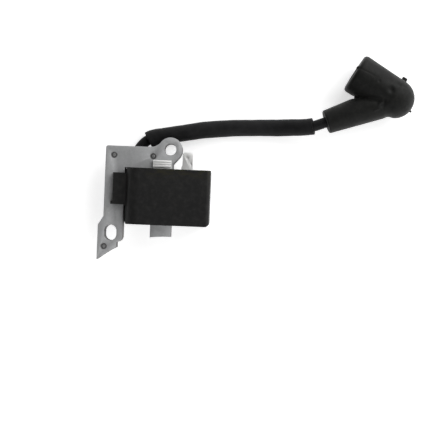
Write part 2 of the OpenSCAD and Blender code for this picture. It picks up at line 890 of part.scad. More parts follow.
module contact_spring() {
    color("lightsteelblue")
        tube(spring_path(), spring_wire_d / 2, spring_sides, along_plug(1) - elbow);
}

for (i = [1:sheet_count])
    lamination(i);
core_rivets();
coil_case();
potting_resin();
primary_bobbin();
primary_winding();
secondary_bobbin();
secondary_winding();
circuit_board();
power_transistor();
control_transistor();
resistors();
capacitor();
diode();
primary_wires();
stop_terminal();
core_clip();
ht_pin();
ht_link();
ht_lead_root();
ht_lead();
ht_lead_tip();
lead_sleeve();
plug_boot();
contact_spring();
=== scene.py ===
import math
from contextlib import contextmanager

import bmesh
import bpy
import numpy as np
from bpy.props import FloatProperty, FloatVectorProperty, IntProperty, PointerProperty
from mathutils import Matrix, Vector


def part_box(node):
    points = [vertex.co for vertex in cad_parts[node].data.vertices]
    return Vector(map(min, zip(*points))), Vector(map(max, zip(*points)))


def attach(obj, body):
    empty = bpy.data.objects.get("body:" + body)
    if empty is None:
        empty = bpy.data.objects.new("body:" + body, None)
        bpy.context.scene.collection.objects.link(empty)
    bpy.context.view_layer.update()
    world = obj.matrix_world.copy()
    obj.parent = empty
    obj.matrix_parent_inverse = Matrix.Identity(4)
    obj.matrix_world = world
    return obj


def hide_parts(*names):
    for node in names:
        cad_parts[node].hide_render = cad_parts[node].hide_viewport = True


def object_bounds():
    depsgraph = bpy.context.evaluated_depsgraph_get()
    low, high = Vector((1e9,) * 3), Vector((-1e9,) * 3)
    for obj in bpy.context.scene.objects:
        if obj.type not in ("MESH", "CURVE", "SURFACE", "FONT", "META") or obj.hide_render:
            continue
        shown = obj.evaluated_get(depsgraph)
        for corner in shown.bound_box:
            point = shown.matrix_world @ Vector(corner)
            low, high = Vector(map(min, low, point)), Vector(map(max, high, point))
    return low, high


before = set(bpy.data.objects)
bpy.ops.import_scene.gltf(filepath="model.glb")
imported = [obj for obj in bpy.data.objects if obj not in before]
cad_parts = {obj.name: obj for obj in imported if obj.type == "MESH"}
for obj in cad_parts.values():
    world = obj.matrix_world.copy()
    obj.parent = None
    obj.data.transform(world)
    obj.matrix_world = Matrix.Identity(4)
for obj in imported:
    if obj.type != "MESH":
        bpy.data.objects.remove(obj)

bl_info = {
    "name": "Ignition Coil Maker",
    "version": (1, 0, 0),
    "blender": (4, 5, 0),
    "location": "View3D > Sidebar > Ignition Coil",
    "description": "Makes a small-engine ignition coil with its lead and spark-plug boot",
    "category": "Object",
}

CAD_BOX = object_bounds()
MM = 0.001

# Boot geometry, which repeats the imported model's, in millimetres
BOOT_MOUTH = Vector((71.8, 16.1, 1.1))
BOOT_HEADING = math.radians(21.3)
LEAD_BARREL_L = 33.9
PLUG_HEADING = math.radians(21.3 + 180 - 52)
PLUG_BARREL_L = 22.6
LEAD_STOP = 10.0
ELBOW_R = 9.2
SOCKET_R = 5.2
SOCKET_L = 13
CAVITY_R = 4.25
LEAD_BORE_R = 2.56
LEAD_DIR = Vector((math.cos(BOOT_HEADING), math.sin(BOOT_HEADING), 0))
PLUG_DIR = Vector((math.cos(PLUG_HEADING), math.sin(PLUG_HEADING), 0))
ELBOW = BOOT_MOUTH + LEAD_DIR * LEAD_BARREL_L

# The lead's route from the case to the boot, in millimetres
LEAD_ROOT_Y = -13.0
LEAD_ROUTE = [
    (-17, -7, -4.4), (-17, -6, -4.4), (-17, -5, -4.4), (-16.3, -1.2, -4.4), (-14.3, 2.2, -4.4),
    (-11.4, 4.9, -4.45), (-7.6, 6.3, -4.5), (-1, 7.6, -4.55), (7, 9.2, -4.55), (17, 10.9, -4.55),
    (28, 12, -4.55), (38, 12.6, -4.55), (47, 12.9, -4.1), (55, 13.2, -2.6), (62, 13.5, -0.4),
    (66, 14, 0.8), (69.005, 15.01, 1.1), (70.402, 15.555, 1.1), (71.8, 16.1, 1.1),
]
ROUTE_STEPS = 4
SLEEVE_FROM = 5
SLEEVE_TO = 15

SHEETS = ["lamination_%d" % i for i in range(1, 13)]
RIVETS_AT = ((-25.8, -3.5), (-7.8, -3.5), (-29.0, -45.7))


# ---- Settings ---------------------------------------------------------------------------------

def colour_prop(name, description, default):
    return FloatVectorProperty(name=name, description=description, default=default,
                               size=4, subtype="COLOR", min=0, max=1)


def length_prop(name, description, default):
    return FloatProperty(name=name, description=description, default=default * MM,
                         min=0, unit="LENGTH", precision=5)


class CoreSettings(bpy.types.PropertyGroup):
    steel: colour_prop("Steel", "Colour of the punched sheets", (0.47, 0.475, 0.48, 1))
    steel_dark: colour_prop("Dark steel", "Colour of the darker patches and cut edges",
                            (0.33, 0.333, 0.336, 1))
    edge: length_prop("Edge", "Rounding of each sheet's punched edge", 0.07)
    rivet_radius: length_prop("Rivet radius", "Radius of a core rivet", 1.47)


class CaseSettings(bpy.types.PropertyGroup):
    plastic: colour_prop("Plastic", "Colour of the moulded case", (0.0160, 0.0160, 0.0162, 1))
    bloom: colour_prop("Bloom", "Colour of the dull patches on the case",
                       (0.0176, 0.0175, 0.0168, 1))
    flow: colour_prop("Flow marks", "Colour of the moulding marks by the case's top edge",
                      (0.026, 0.0245, 0.0155, 1))
    edge: length_prop("Edge", "Rounding of the case's sharp edges", 0.3)
    grain: FloatProperty(name="Grain", description="Depth of the moulded grain", default=0.25,
                         min=0, max=1, subtype="FACTOR")


class LeadSettings(bpy.types.PropertyGroup):
    jacket_diameter: length_prop("Lead diameter", "Diameter of the high-tension lead", 5.0)
    sleeve_diameter: length_prop("Sleeve diameter", "Outside diameter of the sleeve", 8.0)
    sleeve_wall: length_prop("Sleeve wall", "Wall of the sleeve", 0.8)
    jacket: colour_prop("Jacket", "Colour of the lead", (0.0075, 0.0075, 0.008, 1))
    sleeve: colour_prop("Sleeve", "Colour of the sleeve", (0.0086, 0.0086, 0.0091, 1))
    sleeve_sides: IntProperty(name="Sleeve sides", description="Facets round the sleeve",
                              default=48, min=12, max=96)


class BootSettings(bpy.types.PropertyGroup):
    rubber: colour_prop("Rubber", "Colour of the boot", (0.0046, 0.0049, 0.0044, 1))
    chalk: colour_prop("Chalk", "Colour of the boot's dusty bloom", (0.0088, 0.0088, 0.0076, 1))
    voxel: length_prop("Mesh pitch", "Spacing of the boot's mesh", 0.34)
    fillet: length_prop("Fillet", "Radius where the two barrels meet", 0.7)
    spring_wire: length_prop("Spring wire", "Diameter of the contact spring's wire", 0.9)
    spring_radius: length_prop("Spring radius", "Radius of the spring's turns", 3.4)
    spring_turns: IntProperty(name="Spring turns", description="Turns of the contact spring",
                              default=5, min=1, max=12)
    spring_pitch: length_prop("Spring pitch", "Distance between two turns", 1.4)


FLOOR_HALF = 9.0


class StageSettings(bpy.types.PropertyGroup):
    floor: colour_prop("Floor", "Colour of the floor", (0.93, 0.93, 0.93, 1))
    table_glow: FloatProperty(name="Table glow", default=0.62, min=0,
                              description="Brightness of the back-lit table under the floor")
    lens: FloatProperty(name="Lens", description="Focal length of the camera", default=75.1,
                        min=1, unit="CAMERA")
    camera_height: length_prop("Camera height", "Height above the mounting face", 431.4)
    turn: FloatProperty(name="Turn", description="How far the camera is rolled",
                        default=math.radians(2.3), subtype="ANGLE")
    key_power: FloatProperty(name="Key light", description="Power of the large soft light",
                             default=2.4, min=0, unit="POWER")
    sky: FloatProperty(name="Tent", description="Strength of the light tent", default=1.0, min=0)


# ---- Node helpers -----------------------------------------------------------------------------

SHADER_TREE = "ShaderNodeTree"
GEOMETRY_TREE = "GeometryNodeTree"
VALUE = "NodeSocketFloat"
COUNT = "NodeSocketInt"
COLOUR = "NodeSocketColor"
VECTOR = "NodeSocketVector"
GEOMETRY = "NodeSocketGeometry"
# The Mix node's first value, second value and result, which have a place for each kind of data
MIX_SOCKETS = {"FLOAT": (2, 3, 0), "RGBA": (6, 7, 2)}
NODES_IN_ROW = 6
NODE_SPACE = Vector((220, -320))


def grey(level):
    return (level, level, level, 1)


def shade(colour, factor):
    """The colour made lighter or darker."""
    return tuple(min(1.0, part * factor) for part in colour[:3]) + (1.0,)


class Nodes:
    """Adds nodes to a tree, one beside the other in rows, and joins them."""

    def __init__(self, tree):
        self.tree = tree

    def add(self, kind, values=None, **fields):
        row, column = divmod(len(self.tree.nodes), NODES_IN_ROW)
        node = self.tree.nodes.new(kind)
        node.location = NODE_SPACE * Vector((column, row))
        for name, value in fields.items():
            setattr(node, name, value)
        for name, value in (values or {}).items():
            self.feed(value, node.inputs[name])
        return node

    def feed(self, value, socket):
        """Links a node's output to the socket, or sets the socket to a plain value."""
        if isinstance(value, bpy.types.NodeSocket):
            self.tree.links.new(value, socket)
        else:
            socket.default_value = tuple(value) if hasattr(value, "__len__") else value

    def feed_all(self, node, values):
        for place, value in enumerate(values):
            self.feed(value, node.inputs[place])
        return node

    def math(self, operation, *values, clamp=False):
        node = self.add("ShaderNodeMath", operation=operation, use_clamp=clamp)
        return self.feed_all(node, values).outputs[0]

    def product(self, *factors, clamp=False):
        made = factors[0]
        for number, factor in enumerate(factors[1:], 2):
            made = self.math("MULTIPLY", made, factor, clamp=clamp and number == len(factors))
        return made

    def weighted(self, *parts, base=0.0):
        """A base value plus a share of each mask, from pairs of mask and share."""
        shares = [self.product(mask, share) for mask, share in parts]
        made = shares[0]
        for share in shares[1:]:
            made = self.math("ADD", made, share)
        return self.math("ADD", made, base) if base else made

    def dot(self, a, b):
        node = self.add("ShaderNodeVectorMath", operation="DOT_PRODUCT")
        return self.feed_all(node, (a, b)).outputs["Value"]

    def split(self, vector):
        return self.feed_all(self.add("ShaderNodeSeparateXYZ"), (vector,)).outputs

    def facing(self):
        """The direction that the surface faces."""
        return self.add("ShaderNodeNewGeometry").outputs["Normal"]

    def ramp(self, value, low, high, to_low=0.0, to_high=1.0):
        """A smooth change from one number to another while the value goes from low to high."""
        return self.add("ShaderNodeMapRange", {
            "Value": value, "From Min": low, "From Max": high, "To Min": to_low,
            "To Max": to_high}, interpolation_type="SMOOTHSTEP").outputs["Result"]

    def mix(self, factor, a, b, kind="RGBA"):
        node = self.add("ShaderNodeMix", data_type=kind)
        first, second, result = MIX_SOCKETS[kind]
        for place, value in ((0, factor), (first, a), (second, b)):
            self.feed(value, node.inputs[place])
        return node.outputs[result]

    def noise(self, vector, scale, detail, roughness=0.5, distortion=0.0):
        return self.add("ShaderNodeTexNoise", {
            "Vector": vector, "Scale": scale, "Detail": detail, "Roughness": roughness,
            "Distortion": distortion}).outputs["Fac"]


class Finish(Nodes):
    """A new material: its shader, and the Object coordinates that its patterns read."""

    def __init__(self, name, **constants):
        self.material = bpy.data.materials.new(name)
        self.material.use_nodes = True
        super().__init__(self.material.node_tree)
        self.shader = self.tree.nodes["Principled BSDF"]
        for title, value in constants.items():
            self.feed(value, self.shader.inputs[title.replace("_", " ")])
        self.place = self.add("ShaderNodeTexCoord").outputs["Object"]

    def effect(self, name, **values):
        """Places a shared effect with this material's own values."""
        group = bpy.data.node_groups.get(name) or GROUP_MAKERS[name](name)
        node = self.add("ShaderNodeGroup", {"Vector": self.place}, node_tree=group)
        for title, value in values.items():
            self.feed(value, node.inputs[title.replace("_", " ")])
        return node.outputs

    def mottle(self, colour, patch, scale, amount):
        return self.effect("Uneven Finish", Colour=colour, Patch_Colour=patch,
                           Patch_Scale=scale, Amount=amount)

    def grain(self, scale, roughening=0.5):
        return self.effect("Moulded Grain", Grain_Scale=scale, Roughening=roughening)

    def rubbed(self, colour, bare, width, amount):
        return self.effect("Rubbed Edges", Colour=colour, Bare_Colour=bare, Width=width,
                           Amount=amount)["Colour"]

    def dusted(self, colour, amount):
        return self.effect("Dust Film", Colour=colour, Amount=amount)["Colour"]

    def moved(self, vector, **fields):
        values = {"Vector": vector, **fields}
        return self.add("ShaderNodeMapping", values).outputs["Vector"]

    def streaks(self, stretch, detail, roughness, turn=0.0, distortion=0.0, about=None):
        """Noise that is drawn out, with its own scale along each axis."""
        place = self.place if about is None else self.moved(self.place, Location=-about)
        drawn = self.moved(place, Rotation=(0, 0, turn), Scale=stretch)
        return self.noise(drawn, 1.0, detail, roughness, distortion)

    def dress(self, colour, roughness, height, depth, strength, coat=None):
        """Feeds the shader, and hands over the material."""
        bump = self.add("ShaderNodeBump", {"Height": height, "Strength": strength,
                                           "Distance": depth})
        for title, value in (("Base Color", colour), ("Roughness", roughness),
                             ("Coat Weight", coat), ("Normal", bump.outputs["Normal"])):
            if value is not None:
                self.feed(value, self.shader.inputs[title])
        return self.material


def new_group(name, kind, inputs, outputs):
    """A new node group: its nodes, the sockets that it is given and the ones that it fills."""
    nodes = Nodes(bpy.data.node_groups.new(name, kind))
    for title, socket_type, default in inputs:
        socket = nodes.tree.interface.new_socket(title, in_out="INPUT", socket_type=socket_type)
        if default is not None:
            socket.default_value = default
    for title, socket_type in outputs:
        nodes.tree.interface.new_socket(title, in_out="OUTPUT", socket_type=socket_type)
    return nodes, nodes.add("NodeGroupInput").outputs, nodes.add("NodeGroupOutput").inputs


# ---- Shared effects ---------------------------------------------------------------------------

def colour_effect(name, second, default, inputs):
    """A group that lays a second colour over the first through a mask."""
    return new_group(name, SHADER_TREE, [
        ("Vector", VECTOR, None), ("Colour", COLOUR, (0.1, 0.1, 0.1, 1)),
        (second, COLOUR, default), *inputs], [("Colour", COLOUR), ("Mask", VALUE)])


def lay_over(nodes, given, made, second, mask):
    nodes.feed(nodes.mix(mask, given["Colour"], given[second]), made["Colour"])
    nodes.feed(mask, made["Mask"])
    return nodes.tree


def grain_group(name):
    """Fine surface grain: a height and a mask, from two sizes of noise."""
    nodes, given, made = new_group(name, SHADER_TREE, [
        ("Vector", VECTOR, None), ("Grain Scale", VALUE, 4000.0), ("Roughening", VALUE, 0.5)],
        [("Height", VALUE), ("Mask", VALUE)])
    fine = nodes.noise(given["Vector"], given["Grain Scale"], 3.0, 0.6)
    coarse = nodes.noise(given["Vector"], nodes.product(given["Grain Scale"], 0.14), 2.0)
    height = nodes.mix(given["Roughening"], coarse, fine, "FLOAT")
    nodes.feed(height, made["Height"])
    nodes.feed(nodes.ramp(height, 0.42, 0.62), made["Mask"])
    return nodes.tree


def mottle_group(name):
    """Uneven colour: patches of a second colour over the first, with finer specks in them."""
    nodes, given, made = colour_effect(name, "Patch Colour", (0.2, 0.2, 0.2, 1), [
        ("Patch Scale", VALUE, 150.0), ("Amount", VALUE, 0.6)])
    patches = nodes.noise(given["Vector"], given["Patch Scale"], 5.0, 0.62, 0.35)
    specks = nodes.noise(given["Vector"], nodes.product(given["Patch Scale"], 7.0), 2.0, 0.7)
    both = nodes.weighted((nodes.ramp(patches, 0.36, 0.66), 0.7),
                          (nodes.ramp(specks, 0.35, 0.7), 0.3))
    mask = nodes.product(both, given["Amount"], clamp=True)
    return lay_over(nodes, given, made, "Patch Colour", mask)


def edge_group(name):
    """Rubbed edges: a mask that is strong where the surface turns sharply."""
    nodes, given, made = colour_effect(name, "Bare Colour", (0.5, 0.5, 0.5, 1), [
        ("Width", VALUE, 0.0004), ("Amount", VALUE, 0.5)])
    rounded = nodes.add("ShaderNodeBevel", {"Radius": given["Width"]}, samples=4)
    turned = nodes.math("SUBTRACT", 1.0, nodes.dot(rounded.outputs["Normal"], nodes.facing()))
    patchy = nodes.ramp(nodes.noise(given["Vector"], 900.0, 3.0, 0.7), 0.35, 0.62)
    mask = nodes.product(nodes.ramp(turned, 0.01, 0.22), patchy, given["Amount"], clamp=True)
    return lay_over(nodes, given, made, "Bare Colour", mask)


def dust_group(name):
    """A thin film of dust on faces that look up, broken into faint specks."""
    nodes, given, made = colour_effect(name, "Dust Colour", (0.35, 0.34, 0.32, 1), [
        ("Amount", VALUE, 0.15)])
    upward = nodes.ramp(nodes.split(nodes.facing())["Z"], -0.1, 1.0)
    cloud = nodes.ramp(nodes.noise(given["Vector"], 420.0, 6.0, 0.75), 0.4, 0.75)
    specks = nodes.add("ShaderNodeTexVoronoi", {"Vector": given["Vector"], "Scale": 1500.0})
    spots = nodes.ramp(specks.outputs["Distance"], 0.16, 0.06)
    both = nodes.math("MAXIMUM", cloud, nodes.product(spots, 0.8))
    mask = nodes.product(both, upward, given["Amount"], clamp=True)
    return lay_over(nodes, given, made, "Dust Colour", mask)


def turns_group(name):
    """Close turns of wire or thread: a height that rises and falls along one direction."""
    nodes, given, made = new_group(name, SHADER_TREE, [
        ("Vector", VECTOR, None), ("Along", VECTOR, (0, 1, 0)),
        ("Turns per Metre", VALUE, 3000.0)], [("Height", VALUE), ("Gap", VALUE)])
    reach = nodes.dot(given["Vector"], given["Along"])
    phase = nodes.math("FRACT", nodes.product(reach, given["Turns per Metre"]))
    folded = nodes.math("ABSOLUTE", nodes.math("SUBTRACT", phase, 0.5))
    hollow = nodes.math("POWER", nodes.product(folded, 2.0), 2.5)
    height = nodes.math("SUBTRACT", 1.0, hollow)
    nodes.feed(height, made["Height"])
    # The Gap mask marks the hollows between turns, which the winding finish darkens as painted
    # shade
    nodes.feed(nodes.ramp(height, 0.35, 0.05), made["Gap"])
    return nodes.tree


GROUP_MAKERS = {
    "Moulded Grain": grain_group,
    "Uneven Finish": mottle_group,
    "Rubbed Edges": edge_group,
    "Dust Film": dust_group,
    "Wound Turns": turns_group,
}


# ---- Finishes ---------------------------------------------------------------------------------

def steel_finish(settings):
    """Cold-rolled sheet with its dull coating, and painted shade: faces that turn sideways, the
    sheared sides of the stack, get a near-black streaky colour.
    """
    look = Finish("Electrical Steel", Metallic=0.28, Specular_IOR_Level=0.5)
    mottle = look.mottle(settings.steel, settings.steel_dark, 230.0, 0.55)
    light = look.ramp(look.noise(look.place, 900.0, 4.0, 0.7), 0.5, 0.75, 0.0, 0.35)
    brighter = look.mix(light, mottle["Colour"], (0.62, 0.625, 0.63, 1))
    # Painted shade: faces that turn sideways are coloured near-black with streaks, standing for
    # the shade on the stack's sides
    side = look.ramp(look.math("ABSOLUTE", look.split(look.facing())["Z"]), 0.75, 0.25)
    streaks = look.streaks((1600, 1600, 180), 3.0, 0.6)
    painted_side_shade = look.mix(streaks, (0.03, 0.029, 0.028, 1), (0.1, 0.097, 0.092, 1))
    edges = look.rubbed(look.mix(side, brighter, painted_side_shade), grey(0.6), 0.00015, 0.35)
    rough = look.ramp(mottle["Mask"], 0.0, 0.6, 0.42, 0.62)
    height = look.math("ADD", look.grain(3200.0, 0.6)["Height"],
                       look.product(streaks, side, 1.5))
    return look.dress(edges, rough, height, 0.00002, 0.6)


def rivet_finish():
    """Swaged steel: light dished centre, and painted shade that darkens the ring groove and the
    rim, read from the groove attribute.
    """
    look = Finish("Rivet Steel", Metallic=0.6)
    groove = look.add("ShaderNodeAttribute", attribute_name="groove").outputs["Fac"]
    mottle = look.mottle(grey(0.33), grey(0.2), 600.0, 0.5)
    # Painted shade: the colour turns near-black where the groove attribute is high, in the ring
    # groove and at the rim
    groove_shaded = look.mix(look.product(groove, 0.9), mottle["Colour"], grey(0.06))
    rough = look.ramp(groove, 0.0, 1.0, 0.38, 0.6)
    return look.dress(groove_shaded, rough, look.grain(5000.0)["Height"], 0.00001, 0.6)


def plated_finish(name, colour, roughness, scratch_turn=0.0, dull=(0.45, 0.45, 0.44, 1),
                  metal=0.92):
    """Bright plated or tinned metal with fine brushing and cloudy spots."""
    look = Finish(name, Metallic=metal)
    mottle = look.mottle(colour, dull, 420.0, 0.45)
    brushing = look.streaks((7000, 300, 7000), 2.0, 0.5, scratch_turn)
    edges = look.rubbed(mottle["Colour"], grey(0.9), 0.0002, 0.5)
    rough = look.weighted((brushing, 0.12), (mottle["Mask"], 0.3), base=roughness - 0.06)
    return look.dress(edges, rough, brushing, 0.00001, 0.5)


def plastic_finish(name, colour, patch, roughness, grain_scale=2600.0, grain_depth=0.00002,
                   dusty=0.03, specular=0.3, worn=0.25, flow=None):
    """Moulded plastic: grain, dull patches, rubbed edges and a little dust."""
    look = Finish(name, Specular_IOR_Level=specular)
    mottle = look.mottle(colour, patch, 90.0, 0.6)
    edges = look.rubbed(mottle["Colour"], shade(patch, 2.2), 0.0005, worn)
    top = look.dusted(edges, dusty)
    if flow is not None:
        top = look.mix(flow_marks(look), top, flow)
    grain = look.grain(grain_scale, 0.6)
    rough = look.weighted((mottle["Mask"], 0.14), (grain["Mask"], 0.08), base=roughness - 0.1)
    return look.dress(top, rough, grain["Height"], grain_depth, 0.8)


def flow_marks(look):
    """Where the mould's flow left faint marks, along the case's top edge by the terminal."""
    at = look.split(look.place)
    streaks = look.streaks((160, 900, 500), 4.0, 0.65, distortion=0.6)
    return look.product(look.ramp(at["Y"], -15.5 * MM, -9.8 * MM),
                        look.ramp(at["X"], -14 * MM, -4 * MM),
                        look.ramp(at["Z"], 11 * MM, 16 * MM),
                        look.ramp(streaks, 0.44, 0.62), clamp=True)


def resin_finish():
    """Cast epoxy: glossy, slightly wavy, with a few small bubbles and filler specks."""
    look = Finish("Potting Resin", Specular_IOR_Level=0.5, Coat_Roughness=0.08, IOR=1.55)
    mottle = look.mottle((0.011, 0.0105, 0.0105, 1), (0.028, 0.024, 0.02, 1), 260.0, 0.6)
    bubbles = look.add("ShaderNodeTexVoronoi", {"Vector": look.place, "Scale": 420.0})
    pits = look.ramp(bubbles.outputs["Distance"], 0.06, 0.12)
    height = look.math("ADD", look.product(pits, 0.25), look.noise(look.place, 130.0, 1.0))
    return look.dress(mottle["Colour"], look.ramp(mottle["Mask"], 0.1, 0.6, 0.12, 0.3), height,
                      0.0002, 0.7, coat=look.ramp(mottle["Mask"], 0.0, 0.6, 0.7, 0.3))


def rubber_finish(settings):
    """Moulded rubber: matt, faintly olive, with a chalky bloom and smears."""
    look = Finish("Boot Rubber", Specular_IOR_Level=0.16, Sheen_Weight=0.04,
                  Sheen_Roughness=0.5)
    mottle = look.mottle(settings.rubber, settings.chalk, 120.0, 0.5)
    strokes = look.streaks((60, 420, 420), 4.0, 0.6, -PLUG_HEADING, about=ELBOW * MM)
    smears = look.ramp(strokes, 0.48, 0.72, 0.0, 0.35)
    smeared = look.mix(smears, mottle["Colour"], settings.chalk)
    grain = look.grain(2200.0)
    rough = look.weighted((grain["Mask"], 0.1), (smears, 0.3), base=0.5)
    return look.dress(look.dusted(smeared, 0.015), rough, grain["Height"], 0.000035, 0.8)


def jacket_finish(name, colour, gloss, ribbed=0.0):
    """Extruded cable jacket or sleeve: smooth, with faint lengthwise marks and smudges."""
    look = Finish(name, Specular_IOR_Level=0.12)
    mottle = look.mottle(colour, shade(colour, 2.4), 180.0, 0.45)
    marks = look.streaks((110, 2400, 2400), 3.0, 0.55, -math.radians(6))
    rough = look.weighted((mottle["Mask"], 0.2), (marks, 0.12), base=gloss)
    height = look.math("ADD", look.product(marks, 0.5 + ribbed),
                       look.grain(1500.0, 0.4)["Height"])
    return look.dress(look.dusted(mottle["Colour"], 0.012), rough, height, 0.00004, 0.6)


def winding_finish(name, colour, dark, turns):
    """Enamelled wire in close turns, with painted shade darkening the gaps between them."""
    look = Finish(name, Metallic=0.55, Coat_Roughness=0.15)
    wound = look.effect("Wound Turns", Turns_per_Metre=turns)
    mottle = look.mottle(colour, dark, 500.0, 0.4)
    # Painted shade: the gaps between the turns are coloured darker
    shaded = look.mix(wound["Gap"], mottle["Colour"], shade(dark, 0.35))
    return look.dress(shaded, look.ramp(mottle["Mask"], 0.0, 0.5, 0.25, 0.45), wound["Height"],
                      0.0001, 0.9, coat=look.ramp(mottle["Mask"], 0.0, 0.5, 0.6, 0.3))


def board_finish():
    """Glass laminate: woven bump under a green-brown varnish."""
    look = Finish("Board Laminate", Specular_IOR_Level=0.5)
    threads = [look.add("ShaderNodeTexWave", {"Vector": look.place, "Scale": 420.0,
                                              "Distortion": 0.4}, bands_direction=way)
               for way in "XY"]
    weave = look.math("MAXIMUM", *(thread.outputs["Fac"] for thread in threads))
    mottle = look.mottle((0.09, 0.16, 0.05, 1), (0.06, 0.10, 0.035, 1), 320.0, 0.5)
    varnish = look.mix(look.product(weave, 0.3), mottle["Colour"], (0.2, 0.26, 0.11, 1))
    return look.dress(varnish, look.ramp(weave, 0.0, 1.0, 0.5, 0.32), weave, 0.00002, 0.6)


def banded_finish(name, body, band, along, origin, bands, width):
    """A small turned component with plain rings of another colour round it."""
    look = Finish(name, Specular_IOR_Level=0.5)
    reach = look.dot(look.moved(look.place, Location=-origin), along)
    rings = None
    for centre in bands:
        away = look.math("ABSOLUTE", look.math("SUBTRACT", reach, centre))
        ring = look.ramp(away, width * 0.6, width * 0.5)
        rings = ring if rings is None else look.math("MAXIMUM", rings, ring)
    mottle = look.mottle(body, shade(body, 0.7), 700.0, 0.4)
    grain = look.grain(5000.0)
    return look.dress(look.mix(rings, mottle["Colour"], band),
                      look.weighted((grain["Mask"], 0.15), base=0.4),
                      grain["Height"], 0.00001, 0.6)


# ---- Mesh helpers -----------------------------------------------------------------------------

def place_object(name, data):
    made = bpy.data.objects.new(name, data)
    bpy.context.scene.collection.objects.link(made)
    return made


@contextmanager
def edited(mesh):
    """The mesh opened for editing, and written back at the end."""
    work = bmesh.new()
    work.from_mesh(mesh)
    yield work
    work.to_mesh(mesh)
    work.free()


def smooth_faces(work):
    for face in work.faces:
        face.smooth = True


def smooth_by_angle(mesh, degrees):
    """Smooth faces, with sharp edges where the surface turns by more than the angle."""
    with edited(mesh) as work:
        smooth_faces(work)
        for edge in work.edges:
            if len(edge.link_faces) == 2:
                edge.smooth = edge.calc_face_angle(0.0) < math.radians(degrees)


def merged_copy(node, name):
    """A copy of a CAD node's mesh with its loose triangles joined and flat faces dissolved."""
    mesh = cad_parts[node].data.copy()
    mesh.name = name
    with edited(mesh) as work:
        bmesh.ops.remove_doubles(work, verts=work.verts, dist=2e-6)
        bmesh.ops.dissolve_limit(work, angle_limit=math.radians(1.0), verts=work.verts,
                                 edges=work.edges, delimit={"NORMAL"})
    mesh.materials.clear()
    return mesh


def plain_mesh(obj):
    """Bakes the object's modifiers into its mesh and removes them."""
    bpy.context.view_layer.update()
    graph = bpy.context.evaluated_depsgraph_get()
    mesh = bpy.data.meshes.new_from_object(obj.evaluated_get(graph), depsgraph=graph)
    old = obj.data
    obj.modifiers.clear()
    if obj.type == "MESH":
        obj.data = mesh
        bpy.data.meshes.remove(old)
        return obj
    made = place_object(obj.name + "_mesh", mesh)
    name = obj.name
    bpy.data.objects.remove(obj)
    made.name = name
    return made


def softened(node, name, width, finish, angle=32, segments=2):
    """A CAD solid with its sharp edges rounded, which stands for that solid."""
    made = place_object(name, merged_copy(node, name))
    bevel = made.modifiers.new("Rounded Edges", "BEVEL")
    bevel.width = width
    bevel.segments = segments
    bevel.limit_method = "ANGLE"
    bevel.angle_limit = math.radians(angle)
    bevel.use_clamp_overlap = True
    made = plain_mesh(made)
    smooth_by_angle(made.data, 50)
    dress(made, finish)
    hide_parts(node)
    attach(made, "coil")
    return made


def dress(obj, finish):
    """Gives an object one material."""
    obj.data.materials.clear()
    obj.data.materials.append(finish)


def adopt(node, finish):
    """Gives a CAD solid that stays as it is a better material."""
    dress(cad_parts[node], finish)


def smooth_route(points, steps):
    """Curve through every point of a route, as numpy rows."""
    rows = [np.array(p, float) for p in points]
    rows = [2 * rows[0] - rows[1]] + rows + [2 * rows[-1] - rows[-2]]
    made = []
    for i in range(1, len(rows) - 2):
        a, b, c, d = rows[i - 1:i + 3]
        for k in range(steps):
            t = k / steps
            made.append(0.5 * (2 * b + (c - a) * t + (2 * a - 5 * b + 4 * c - d) * t * t
                               + (3 * b - a - 3 * c + d) * t ** 3))
    made.append(rows[-2])
    return np.array(made)


def frames_along(path):
    """Unit tangent, side and top directions at each point of a path that never stands upright."""
    tangent = np.gradient(path, axis=0)
    tangent /= np.linalg.norm(tangent, axis=1)[:, None]
    side = np.cross(tangent, [0, 0, 1])
    side /= np.linalg.norm(side, axis=1)[:, None]
    return tangent, side, np.cross(side, tangent)


def ring_mesh(name, rings, joined=False):
    """Mesh through rings of points, whose ends are capped, or joined to each other."""
    count, sides = rings.shape[:2]
    faces = []
    for i in range(count if joined else count - 1):
        a, b = i * sides, ((i + 1) % count) * sides
        for k in range(sides):
            n = (k + 1) % sides
            faces.append((a + k, b + k, b + n, a + n))
    if not joined:
        faces.append(tuple(range(sides)))
        faces.append(tuple((count - 1) * sides + k for k in reversed(range(sides))))
    mesh = bpy.data.meshes.new(name)
    mesh.from_pydata([tuple(p) for ring in rings for p in ring], [], faces)
    with edited(mesh) as work:
        bmesh.ops.recalc_face_normals(work, faces=work.faces)
        smooth_faces(work)
    return mesh


def poly_curve(name, points, radius):
    """One open spline through the points, as thick as the radius, with closed ends."""
    data = bpy.data.curves.new(name, "CURVE")
    data.dimensions = "3D"
    spline = data.splines.new("POLY")
    spline.points.add(len(points) - 1)
    for place, row in zip(spline.points, points):
        place.co = (*row, 1.0)
    spline.use_smooth = True
    data.bevel_depth = radius
    data.bevel_resolution = 6
    data.use_fill_caps = True
    return place_object(name, data)


# ---- Geometry Nodes ---------------------------------------------------------------------------

def path_tree(name, *inputs):
    """A tree that takes geometry, more inputs and a material, and gives geometry."""
    return new_group(name, GEOMETRY_TREE, [("Geometry", GEOMETRY, None), *inputs,
                                           ("Material", "NodeSocketMaterial", None)],
                     [("Geometry", GEOMETRY)])


def finish_tree(nodes, given, made, geometry):
    """Every tree ends in real geometry with its material set."""
    real = nodes.add("GeometryNodeRealizeInstances", {"Geometry": geometry})
    dressed = nodes.add("GeometryNodeSetMaterial", {
        "Geometry": real.outputs["Geometry"], "Material": given["Material"]})
    nodes.feed(dressed.outputs["Geometry"], made["Geometry"])
    return nodes.tree


